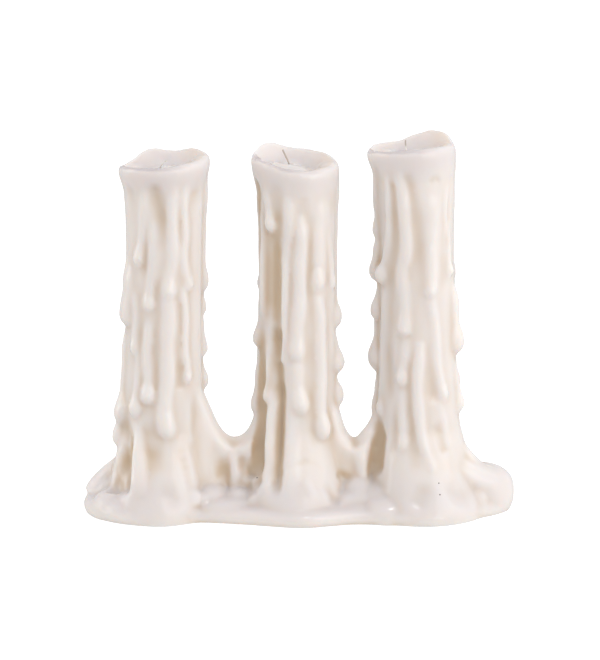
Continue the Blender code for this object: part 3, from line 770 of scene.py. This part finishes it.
def run_spots(pillar, run):
    """A run hugs the pillar: it flares out of what feeds it, and ends in a round bulb."""
    curve = smooth_path(run.path, steps=37)
    top, tip = curve[0].x, curve[-1].x
    spots = []
    for height, azimuth in curve:
        above_tip, below_top = height - tip, top - height
        near_tip = max(0.0, 1 - above_tip / (SWELL_LENGTH * run.bulb))
        swell = math.sin(0.75 * math.pi * ease(near_tip))
        width = run.width + (run.bulb - run.width) * swell
        width *= 1 + WIDTH_VARIES * math.sin(0.33 * height + 1.7 * run.path[0][1])
        rise = width * run.proud + SWELL_RISE * swell * min(width, SWELL_RISE_WIDTH)
        width *= 1 + (run.flare - 1) * max(0.0, 1 - below_top / FLARE_LENGTH) ** 2
        room = core_radius(height) + rise - well_radius(pillar, height, azimuth) - RUN_INSET
        radius = min(((width / 2) ** 2 + rise**2) / (2 * rise), room / 2)
        into_end = min(1.0, above_tip / radius)
        radius_here = radius * math.sqrt(max(TIP_LEAST, 1 - (1 - into_end) ** 2))
        fade = 1.0 if run.flare > 1 else min(1.0, below_top / START_LENGTH + START_SHARE)
        if run.bulb <= run.width:
            fade = max(FLAT_LEAST, ease(below_top / FLAT_START) * ease(above_tip / FLAT_END))
        out = core_radius(height) - (radius - rise) - (1 - fade) * rise
        turn = math.radians(azimuth + SWAY * math.sin(0.21 * height + run.path[0][0]))
        place = (axis_x(pillar, height) + out * math.sin(turn), -out * math.cos(turn), height)
        spots.append((place, radius_here))
    return spots


def back_runs(pillar):
    """The far side's runs as this pillar has them: those that start at the rim follow its height."""
    for run in BACK_RUNS:
        stretch = 1 + BACK_STRETCH * math.sin(math.radians(run.path[0][1] * 3 + pillar.back_turn * 7))
        path = []
        for height, azimuth in run.path:
            from_rim = height > BACK_RIM_BAND
            height = height + pillar.rim_height - BACK_RIM_HEIGHT if from_rim else height * stretch
            path.append((height, azimuth + pillar.back_turn * BACK_TURN_SHARE))
        yield run._replace(path=tuple(path))


def foot_radius(pillar, height, azimuth):
    """The radius of a pillar's skirt, which reaches further one way than another."""
    bare = core_radius(height)
    return bare + (around(pillar.foot_reach, azimuth) - bare) * table_value(FOOT_FALL, height)


def add_foot(pillar):
    """The pillar's skirt: a plain round bar whose points move out to the foot's own radius."""
    bar_radius = 10
    foot = add_turned(f"{pillar.name}_foot", [(height, bar_radius) for height, _ in FOOT_FALL])
    for vertex in foot.data.vertices:
        x, y, z = vertex.co / MM
        wider = foot_radius(pillar, z, math.degrees(math.atan2(x, -y))) / bar_radius
        vertex.co = Vector((x * wider + axis_x(pillar, z), y * wider, z)) * MM
    return foot


def add_lobe(number, shape):
    """A flattened ball, squarer than a sphere in side view."""
    deselect_all()
    bpy.ops.mesh.primitive_uv_sphere_add(segments=40, ring_count=20, radius=1, location=(0, 0, 0))
    lobe = bpy.context.object
    lobe.name = f"lobe_{number}"
    for vertex in lobe.data.vertices:
        x, y, z = vertex.co
        wider = max(math.hypot(x, y), 0.001) ** (shape.roundness - 1)
        up = math.copysign(abs(z) ** shape.roundness, z) * (shape.height - shape.middle)
        place = (shape.x + shape.half_x * x * wider, shape.y + shape.half_y * y * wider, shape.middle + up)
        vertex.co = Vector(place) * MM
    return lobe


def inset(edge, distance):
    """Points at a distance under an edge of (x, height) points that runs left to right, as (x, 0, height)."""
    spots = []
    for i, point in enumerate(edge):
        along = (edge[min(i + 1, len(edge) - 1)] - edge[max(i - 1, 0)]).normalized()
        spots.append(Vector((point.x + along.y * distance, 0, point.y - along.x * distance)))
    return spots


def web_spots(edge, depths, columns):
    """Tubes for a curtain: its lip, the sheet under it as upright tubes side by side, and its columns."""
    top = smooth_path(edge, steps=33)
    lip = []
    tubes = [lip]
    steps = np.linspace(0, 1, 9)
    for x, _, height in inset(top, WEB_LIP_RADIUS):
        foot_y = table_value(depths, x)
        top_y = max(foot_y, WEB_TOP_Y)
        lip.append(((x, max(foot_y, WEB_LIP_Y) - WEB_LIP_FORWARD, height), WEB_LIP_RADIUS))
        sheet = [(x, top_y + (foot_y - top_y) * t, height + (1 - height) * t) for t in steps]
        tubes.append([(place, WEB_SHEET_RADIUS) for place in sheet])
    for x, height, radius in columns:
        y = table_value(depths, x) - WEB_COLUMN_FORWARD
        column = [((x, y, height - WEB_COLUMN_LENGTH * t), radius + WEB_COLUMN_FLARE * t**2) for t in steps]
        tubes.append(column)
    return tubes


def finger_spots(finger):
    return [((x, y, height), radius) for x, y, height, radius in smooth_path(finger, steps=17)]


def edge_spots():
    """The rounded edge all round the puddle."""
    loop = smooth_path([*PUDDLE_EDGE, PUDDLE_EDGE[0]], steps=161)
    return [((x, y, PUDDLE_EDGE_HEIGHT), radius) for x, y, radius in loop]


def add_puddle():
    """The puddle inside its rounded edge: rings that rise from the edge to a ridge along the middle."""
    deselect_all()
    bpy.ops.mesh.primitive_circle_add(
        vertices=len(PUDDLE_EDGE), radius=1, fill_type="NGON", location=(0, 0, -PUDDLE_SINK * MM)
    )
    puddle = bpy.context.object
    for vertex, (x, y, _) in zip(puddle.data.vertices, PUDDLE_EDGE):
        vertex.co = Vector((x, y, 0)) * MM
    with editing(puddle):
        for _ in PUDDLE_FALL:
            bpy.ops.mesh.extrude_region_move(TRANSFORM_OT_translate={"value": (0, 0, MM)})
    for vertex in puddle.data.vertices:
        ring = round(vertex.co.z / MM)
        if ring:
            out, share = PUDDLE_FALL[len(PUDDLE_FALL) - ring]
            x, y, _ = vertex.co / MM
            middle = min(PUDDLE_RIDGE_END, max(-PUDDLE_RIDGE_END, x))
            x = middle + (x - middle) * out
            height = table_value(PUDDLE_RIDGE, x) * share + PUDDLE_SINK
            vertex.co = Vector((x, y * out, height)) * MM
    tidy_shell(puddle)
    return puddle


def mesh_arrays(mesh):
    """The points of a mesh in millimetres and its normals, as arrays with a row for each vertex."""
    points, normals = np.empty((len(mesh.vertices), 3)), np.empty((len(mesh.vertices), 3))
    mesh.vertices.foreach_get("co", points.ravel())
    mesh.vertices.foreach_get("normal", normals.ravel())
    return points / MM, normals


def pillar_ray(pillar, height, azimuth):
    """A ray that meets a pillar at a height: level on the pillar, from above on its foot."""
    turn = math.radians(azimuth)
    tilt = math.radians(table_value(FOOT_TILT, height))
    out = Vector((math.sin(turn), -math.cos(turn), 0))
    back = out * math.cos(tilt) + Vector((0, 0, math.sin(tilt)))
    place = Vector((axis_x(pillar, height), 0, height)) + out * foot_radius(pillar, height, azimuth)
    return place + back * RAY_LENGTH, -back


def front_ray(_, x, height):
    """A level ray from the front."""
    return Vector((x, -FAR, height)), Vector((0, 1, 0))


def top_ray(_, x, y):
    """A ray straight down."""
    return Vector((x, y, FAR)), Vector((0, 0, -1))


def stroke_spots(wax, stroke, ray, pillar):
    """The stroke's path laid on the wax, as an array of points in millimetres."""
    way = sum(math.dist(a, b) for a, b in zip(stroke.path, stroke.path[1:]))
    spots = []
    for a, b in smooth_path(stroke.path, steps=max(9, int(way))):
        origin, direction = ray(pillar, a, b)
        hit, place, _, _ = wax.ray_cast(origin * MM, direction)
        if hit:
            spots.append(place / MM)
    return np.array(spots)


def press_strokes(wax, strength):
    """Presses every stroke into the wax along its normals, all at once, and stores their painted shade on the
    points.
    """
    points, normals = mesh_arrays(wax.data)
    moves = np.zeros(len(points))
    painted_shades = np.zeros(len(points))
    strokes = [(stroke, pillar_ray, pillar) for pillar in PILLARS for stroke in pillar.strokes]
    strokes += [(stroke, front_ray, None) for stroke in WEB_STROKES]
    strokes += [(stroke, top_ray, None) for stroke in PUDDLE_STROKES]
    for stroke, ray, pillar in strokes:
        spots = stroke_spots(wax, stroke, ray, pillar)
        reach = stroke.half_width * max(1, stroke.spread)
        inside = (points > spots.min(0) - reach) & (points < spots.max(0) + reach)
        near = np.flatnonzero(inside.all(axis=1))
        gaps = np.linalg.norm(points[near][:, None] - spots[None], axis=2)
        along = gaps.argmin(axis=1) / (len(spots) - 1)
        half_width = stroke.half_width * (1 + (stroke.spread - 1) * along)
        share = np.minimum(gaps.min(axis=1) / half_width, 1)
        ends = 1.0
        for way, fade in zip((along, 1 - along), stroke.fade):
            ends = ends * ease(way / fade) if fade else ends
        moves[near] += stroke.depth * (1 - share**2) ** 2 * ends
        # Painted shade under the stroke, browner and darker towards its middle.
        painted_shades[near] += stroke.stain * (1 - share**4) * ends
    points -= normals * moves[:, None] * strength
    wax.data.vertices.foreach_set("co", (points * MM).ravel())
    add_attribute(wax.data, "stain", painted_shades)
    wax.data.update()


def fuse(wax, settings):
    """Melts the joined shapes into one skin, strokes it and cuts it flat where it stands."""
    apply_modifier(wax, "REMESH", mode="VOXEL", voxel_size=settings.voxel)
    apply_modifier(wax, "SMOOTH", iterations=settings.smoothing, factor=0.5)
    press_strokes(wax, settings.stroke_strength)
    apply_modifier(wax, "SMOOTH", iterations=settings.smoothing, factor=0.5)
    with editing(wax):
        bpy.ops.mesh.bisect(plane_co=(0, 0, 0), plane_no=(0, 0, 1), use_fill=True, clear_inner=True)
    bpy.ops.object.shade_smooth()


def proudness(wax, passes):
    """How proud each point of the wax stands of its skin softened by this many passes, in millimetres."""
    make_active(wax)
    bpy.ops.object.duplicate()
    soft = bpy.context.object
    apply_modifier(soft, "SMOOTH", iterations=passes, factor=0.5)
    hard_points, _ = mesh_arrays(wax.data)
    soft_points, normals = mesh_arrays(soft.data)
    bpy.data.objects.remove(soft)
    return ((hard_points - soft_points) * normals).sum(axis=1)


def from_axis(pillar, points):
    """The points' x and y from the middle of a pillar's rim, and their way out from it."""
    x = points[:, 0] - axis_x(pillar, pillar.rim_height) - pillar.rim_shift
    y = points[:, 1]
    return x, y, np.hypot(x, y)


def add_attribute(mesh, name, values):
    mesh.attributes.new(name, "FLOAT", "POINT").data.foreach_set("value", values)


def measure_relief(wax):
    """Writes to relief how much of a ridge (above 0) or of the hollows (below 0) each point is, which sets
    its painted shade.
    """
    wide = np.minimum(proudness(wax, WIDE_PASSES) - WIDE_LEVEL, 0)
    relief = proudness(wax, FINE_PASSES) + WIDE_SHARE * wide
    points, normals = mesh_arrays(wax.data)
    # The strokes' painted shade lowers the relief, so the material paints those points browner and darker.
    painted_shades = np.zeros(len(points))
    wax.data.attributes["stain"].data.foreach_get("value", painted_shades)
    wax.data.attributes.remove(wax.data.attributes["stain"])
    relief -= painted_shades
    # Painted shade in the wells: even to their middle, then darker and browner to the right.
    for pillar in PILLARS:
        x, y, out = from_axis(pillar, points)
        inward = x * normals[:, 0] + y * normals[:, 1] < 0.1 * out
        well = (out < WELL_REACH) & inward & (points[:, 2] > pillar.rim_height - WELL_BAND)
        relief[well] = WELL_RELIEF - WELL_SHADE * np.clip(x[well] / WELL_SHADE_WIDTH, 0, 1)
    add_attribute(wax.data, "relief", relief)


def shade_rims(wax):
    """Writes to rim the painted shade and reflection of collars, wells and puddle, and to lip the lips'
    painted shade.
    """
    points, normals = mesh_arrays(wax.data)
    up = normals[:, 2]
    rim = np.zeros(len(points))
    lip = np.zeros(len(points))
    for pillar in PILLARS:
        x, y, out = from_axis(pillar, points)
        depth = pillar.rim_height - points[:, 2]
        outward = (x * normals[:, 0] + y * normals[:, 1]) / np.maximum(out, 3)
        inward = np.clip(0.5 - 2 * outward, 0, 1)
        # Painted reflection and shade on the outside of the collars, less on their inner walls.
        collar = np.clip(1 - depth / RIM_SHADE_DEPTH, 0, 1) * COLLAR_SHADE * (1 - 0.8 * inward)
        # In the wells, less of the rim colour towards the right, where the relief paints them browner.
        inward *= WELL_TINT - WELL_TINT_FALL * np.clip(x / WELL_SHADE_WIDTH, 0, 1)
        near_rim = (out < RIM_REACH) & (depth < RIM_SHADE_DEPTH)
        rim = np.maximum(rim, np.where(near_rim, np.maximum(collar, inward), 0))
        # Painted shade on the upward-facing top edge of the lips, stronger to the left.
        near_lip = (out > LIP_INNER) & (out < LIP_OUTER) & (depth < LIP_DEPTH) & (y < LIP_BACK)
        edge = np.clip((up - 0.2) / 0.4, 0, 1) * np.clip(LIP_TINT - x / LIP_TINT_WIDTH, 0, 1)
        lip = np.maximum(lip, np.where(near_lip, edge, 0))
    # Painted shade on the puddle's upward faces, coming in below a height.
    low = np.clip((PUDDLE_SHADE_HEIGHT - points[:, 2]) / PUDDLE_SHADE_FADE, 0, 1)
    rim = np.maximum(rim, PUDDLE_SHADE * low * np.clip(0.1 + up, 0, 1))
    add_attribute(wax.data, "rim", rim)
    add_attribute(wax.data, "lip", lip)


def speck_places(wax):
    """Where the specks of dirt sit on the wax, as (place, radius) in metres."""
    for x, height, radius in SPECKS:
        origin, direction = front_ray(None, x, height)
        hit, place, _, _ = wax.ray_cast(origin * MM, direction)
        if hit:
            yield place.copy(), radius * MM


def node(tree, kind, **settings):
    made = tree.nodes.new(kind)
    for name, value in settings.items():
        if name in made.inputs:
            made.inputs[name].default_value = value
        else:
            setattr(made, name, value)
    return made


def blend(tree, share, low, high):
    """A colour that goes from low to high with share, each a colour or a socket."""
    mix = tree.nodes.new("ShaderNodeMix")
    mix.data_type = "RGBA"
    tree.links.new(share, mix.inputs["Factor"])
    for name, value in (("A", low), ("B", high)):
        socket = next(s for s in mix.inputs if s.name == name and s.type == "RGBA")
        if isinstance(value, bpy.types.NodeSocket):
            tree.links.new(value, socket)
        else:
            socket.default_value = (*value, 1)
    return next(s for s in mix.outputs if s.type == "RGBA")


def ramp(tree, source, low, high, to_low=0.0, to_high=1.0):
    span = tree.nodes.new("ShaderNodeMapRange")
    span.interpolation_type = "SMOOTHSTEP"
    tree.links.new(source, span.inputs["Value"])
    span.inputs["From Min"].default_value = low
    span.inputs["From Max"].default_value = high
    span.inputs["To Min"].default_value = to_low
    span.inputs["To Max"].default_value = to_high
    return span.outputs["Result"]


def product(tree, *factors):
    result = factors[0]
    for factor in factors[1:]:
        times = node(tree, "ShaderNodeMath", operation="MULTIPLY")
        tree.links.new(result, times.inputs[0])
        tree.links.new(factor, times.inputs[1])
        result = times.outputs["Value"]
    return result


def noise(tree, place, scale, detail=2.0, stretch=(1, 1, 1)):
    mapping = tree.nodes.new("ShaderNodeMapping")
    mapping.inputs["Scale"].default_value = stretch
    tree.links.new(place, mapping.inputs["Vector"])
    cloud = node(tree, "ShaderNodeTexNoise", Scale=scale, Detail=detail)
    tree.links.new(mapping.outputs["Vector"], cloud.inputs["Vector"])
    return cloud.outputs["Fac"]


def new_material(name):
    """A node material: itself, its tree, its shader and its Object coordinates."""
    material = bpy.data.materials.new(name)
    material.use_nodes = True
    tree = material.node_tree
    place = tree.nodes.new("ShaderNodeTexCoord").outputs["Object"]
    return material, tree, tree.nodes["Principled BSDF"], place


def attribute(tree, name):
    return node(tree, "ShaderNodeAttribute", attribute_name=name).outputs["Fac"]


def add_bump(tree, shader, height, strength, distance):
    bump = node(tree, "ShaderNodeBump", Strength=strength, Distance=distance)
    tree.links.new(height, bump.inputs["Height"])
    tree.links.new(bump.outputs["Normal"], shader.inputs["Normal"])


def wax_material(settings, specks):
    material, tree, shader, place = new_material("ivory_wax")
    # Painted shade: the lower the relief, the more of the warm, darker hollow colour the wax is painted.
    crests = ramp(tree, attribute(tree, "relief"), -1.7, 0.35)
    tint = blend(tree, crests, settings.hollow_shade, settings.crest)
    # A random mottle of a little of that colour, the wax's own uneven tone.
    mottle = ramp(tree, noise(tree, place, 60, stretch=(1, 1, 0.4)), 0.35, 0.65)
    tint = blend(tree, ramp(tree, mottle, 0, 1, 0.0, 0.04), tint, settings.hollow_shade)
    # Painted shade and reflection: collars, wells and the puddle's top are painted greyer and darker.
    tint = blend(tree, attribute(tree, "rim"), tint, settings.rim)
    # Painted shade: the top edge of the lips, mostly on the left, is painted darker.
    tint = blend(tree, attribute(tree, "lip"), tint, settings.lip)
    for spot, radius in specks:
        gap = node(tree, "ShaderNodeVectorMath", operation="DISTANCE")
        tree.links.new(place, gap.inputs[0])
        gap.inputs[1].default_value = spot
        speck = ramp(tree, gap.outputs["Value"], 0.6 * radius, radius, 1.0, 0.0)
        tint = blend(tree, speck, tint, settings.dirt)
    tree.links.new(tint, shader.inputs["Base Color"])
    rough = settings.roughness
    rough = ramp(tree, noise(tree, place, 180, 3), 0.3, 0.7, rough - 0.03, rough + 0.05)
    tree.links.new(rough, shader.inputs["Roughness"])
    shader.inputs["IOR"].default_value = 1.44
    shader.inputs["Subsurface Weight"].default_value = 1.0
    shader.inputs["Subsurface Radius"].default_value = (1.0, 0.84, 0.69)
    shader.inputs["Subsurface Scale"].default_value = settings.depth
    add_bump(tree, shader, noise(tree, place, 350, 3), 0.03, 0.001)
    return material


class CANDLE_OT_wax(bpy.types.Operator):
    """Model the pillars, their runs, the curtains and the puddle, and fuse them into one body of wax"""

    bl_idname = "candle.wax"
    bl_label = "Wax body"

    def execute(self, context):
        settings = context.scene.candle_wax
        shapes = [add_puddle()]
        tubes = []
        for pillar in PILLARS:
            shapes += [add_pillar_core(pillar), add_foot(pillar)]
            tubes += [run_spots(pillar, run) for run in (*pillar.runs, *back_runs(pillar))]
        for web in WEBS:
            tubes += web_spots(*web)
        tubes += [finger_spots(finger) for finger in FINGERS]
        tubes.append(edge_spots())
        shapes.append(add_tubes("flows", tubes))
        shapes += [add_lobe(number, lobe) for number, lobe in enumerate(LOBES)]
        wax = join(shapes, "melted_wax")
        fuse(wax, settings)
        measure_relief(wax)
        shade_rims(wax)
        apply_modifier(wax, "DECIMATE", ratio=KEPT_FACES)
        wax.data.materials.clear()
        wax.data.materials.append(wax_material(settings, speck_places(wax)))
        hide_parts("wax_body")
        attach(wax, "root")
        return {"FINISHED"}


def strand_spots(path, radius, strand):
    """One of the strands that twist round a wick's path."""
    spots = []
    travelled = 0.0
    for i, point in enumerate(path):
        along = (path[min(i + 1, len(path) - 1)] - path[max(i - 1, 0)]).normalized()
        side = along.cross(Vector((0.3, 1, 0.1))).normalized()
        other = along.cross(side)
        travelled += (point - path[i - 1]).length if i else 0.0
        angle = 2 * math.pi * (travelled / STRAND_TURN + strand / STRANDS)
        off = (side * math.cos(angle) + other * math.sin(angle)) * radius * STRAND_OFF
        spots.append((tuple(point + off), radius * STRAND_SIZE))
    return spots


def wick_material(settings):
    material, tree, shader, place = new_material("waxed_cotton")
    fibres = ramp(tree, noise(tree, place, 900, 3), 0.35, 0.65)
    shade = tuple(0.8 * value for value in settings.cotton)
    cotton = blend(tree, fibres, shade, settings.cotton)
    tint = blend(tree, attribute(tree, "char"), cotton, settings.char)
    tree.links.new(tint, shader.inputs["Base Color"])
    shader.inputs["Roughness"].default_value = 0.7
    add_bump(tree, shader, fibres, 0.4, 0.0002)
    return material


class CANDLE_OT_wicks(bpy.types.Operator):
    """Twist a waxed cotton wick for each pillar"""

    bl_idname = "candle.wicks"
    bl_label = "Wicks"

    def execute(self, context):
        settings = context.scene.candle_wicks
        radius = settings.radius / MM
        material = wick_material(settings)
        for pillar, (name, path) in zip(PILLARS, WICK_PATHS.items()):
            height = pillar.rim_height - WELL_DEPTH
            floor = Vector((axis_x(pillar, height), 0, height))
            foot = Vector((axis_x(pillar, WICK_END_HEIGHT), 0, WICK_END_HEIGHT))
            above = smooth_path([floor + Vector(point) for point in path], steps=61)
            below = [foot.lerp(floor, share) for share in np.linspace(0, 1, WICK_STEPS)[:-1]]
            tubes = [strand_spots([*below, *above], radius, strand) for strand in range(STRANDS)]
            wick = add_tubes(f"{name}_strands", tubes, sides=2)
            make_active(wick)
            bpy.ops.object.shade_smooth()
            points, _ = mesh_arrays(wick.data)
            low, high = WICK_CHAR[name]
            above_floor = points[:, 2] - height
            char = np.clip(np.minimum(above_floor - low, high - above_floor), 0, 1)
            add_attribute(wick.data, "char", char)
            wick.data.materials.clear()
            wick.data.materials.append(material)
            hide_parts(name)
            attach(wick, "root")
        return {"FINISHED"}


def add_floor(settings):
    deselect_all()
    bpy.ops.mesh.primitive_plane_add(size=FLOOR_SIZE, location=(0, FLOOR_BACK, 0))
    floor = bpy.context.object
    floor.name = "floor"
    material, _, shader, _ = new_material("floor")
    shader.inputs["Base Color"].default_value = (*settings.floor, 1)
    shader.inputs["Roughness"].default_value = 0.9
    shader.inputs["Specular IOR Level"].default_value = 0.0
    shader.inputs["Emission Color"].default_value = (1, 1, 1, 1)
    shader.inputs["Emission Strength"].default_value = settings.glow
    floor.data.materials.append(material)
    floor.visible_diffuse = floor.visible_glossy = floor.visible_shadow = False


def studio_world(settings):
    """Soft light from all round, whose strength changes with its direction."""
    world = bpy.data.worlds.new("studio")
    world.use_nodes = True
    tree = world.node_tree
    background = tree.nodes["Background"]
    background.inputs["Color"].default_value = (1.0, 0.99, 0.985, 1)
    sky = tree.nodes.new("ShaderNodeTexCoord")
    way = tree.nodes.new("ShaderNodeSeparateXYZ")
    tree.links.new(sky.outputs["Generated"], way.inputs["Vector"])
    x, y, z = way.outputs
    strength = product(
        tree,
        ramp(tree, y, -1.0, -0.2, settings.front_light, 1.0),
        ramp(tree, y, 0.1, 0.8, 1.0, settings.back_light),
        ramp(tree, x, -1.0, 1.0, settings.left_light, settings.right_light),
        ramp(tree, z, -0.5, 0.6, settings.floor_light, settings.daylight),
        ramp(tree, z, 0.6, 1.0, 1.0, settings.zenith),
    )
    tree.links.new(strength, background.inputs["Strength"])
    return world


def add_softbox(name, place, size, energy):
    deselect_all()
    bpy.ops.object.light_add(type="AREA", location=place)
    light = bpy.context.object
    light.name = name
    light.data.shape = "RECTANGLE"
    light.data.size, light.data.size_y = size
    light.data.energy = energy
    light.rotation_euler = (Vector(AIM) - Vector(place)).to_track_quat("-Z", "Y").to_euler()


def add_camera(settings):
    """The camera in front, looking down at what it aims at."""
    back = Vector((0, -math.cos(settings.elevation), math.sin(settings.elevation)))
    bpy.ops.object.camera_add(location=Vector(AIM) + back * settings.distance)
    camera = bpy.context.object
    camera.name = "camera"
    camera.rotation_euler = (-back).to_track_quat("-Z", "Y").to_euler()
    camera.data.sensor_width = SENSOR_WIDTH
    camera.data.lens = SENSOR_WIDTH * settings.distance / VIEW_HEIGHT
    return camera


class CANDLE_OT_stage(bpy.types.Operator):
    """Lay a plain pale floor, set soft lights and place the camera"""

    bl_idname = "candle.stage"
    bl_label = "Stage"

    def execute(self, context):
        settings = context.scene.candle_stage
        scene = context.scene
        add_floor(settings)
        scene.world = studio_world(settings)
        for name, (place, size) in SOFTBOXES.items():
            add_softbox(name, place, size, getattr(settings, f"{name}_power"))
        scene.camera = add_camera(settings)
        scene.view_settings.view_transform = "Standard"
        return {"FINISHED"}


class CANDLE_PT_panel(bpy.types.Panel):
    """Lists the candle's pieces and their sizes and colours"""

    bl_idname = "CANDLE_PT_panel"
    bl_label = "Melted candle"
    bl_space_type = "VIEW_3D"
    bl_region_type = "UI"
    bl_category = "Candle"

    def draw(self, context):
        for operator, settings in STEPS:
            box = self.layout.box()
            box.operator(operator.bl_idname)
            group = getattr(context.scene, settings)
            for name in group.__annotations__:
                box.prop(group, name)


STEPS = ((CANDLE_OT_wax, "candle_wax"), (CANDLE_OT_wicks, "candle_wicks"), (CANDLE_OT_stage, "candle_stage"))
SETTINGS = {"candle_wax": WaxSettings, "candle_wicks": WickSettings, "candle_stage": StageSettings}
CLASSES = (*SETTINGS.values(), CANDLE_OT_wax, CANDLE_OT_wicks, CANDLE_OT_stage, CANDLE_PT_panel)


def register():
    for cls in CLASSES:
        bpy.utils.register_class(cls)
    for name, group in SETTINGS.items():
        setattr(bpy.types.Scene, name, bpy.props.PointerProperty(type=group))


def unregister():
    for name in SETTINGS:
        delattr(bpy.types.Scene, name)
    for cls in reversed(CLASSES):
        bpy.utils.unregister_class(cls)


def main():
    register()
    bpy.ops.candle.wax()
    bpy.ops.candle.wicks()
    bpy.ops.candle.stage()


if __name__ == "__main__":
    main()
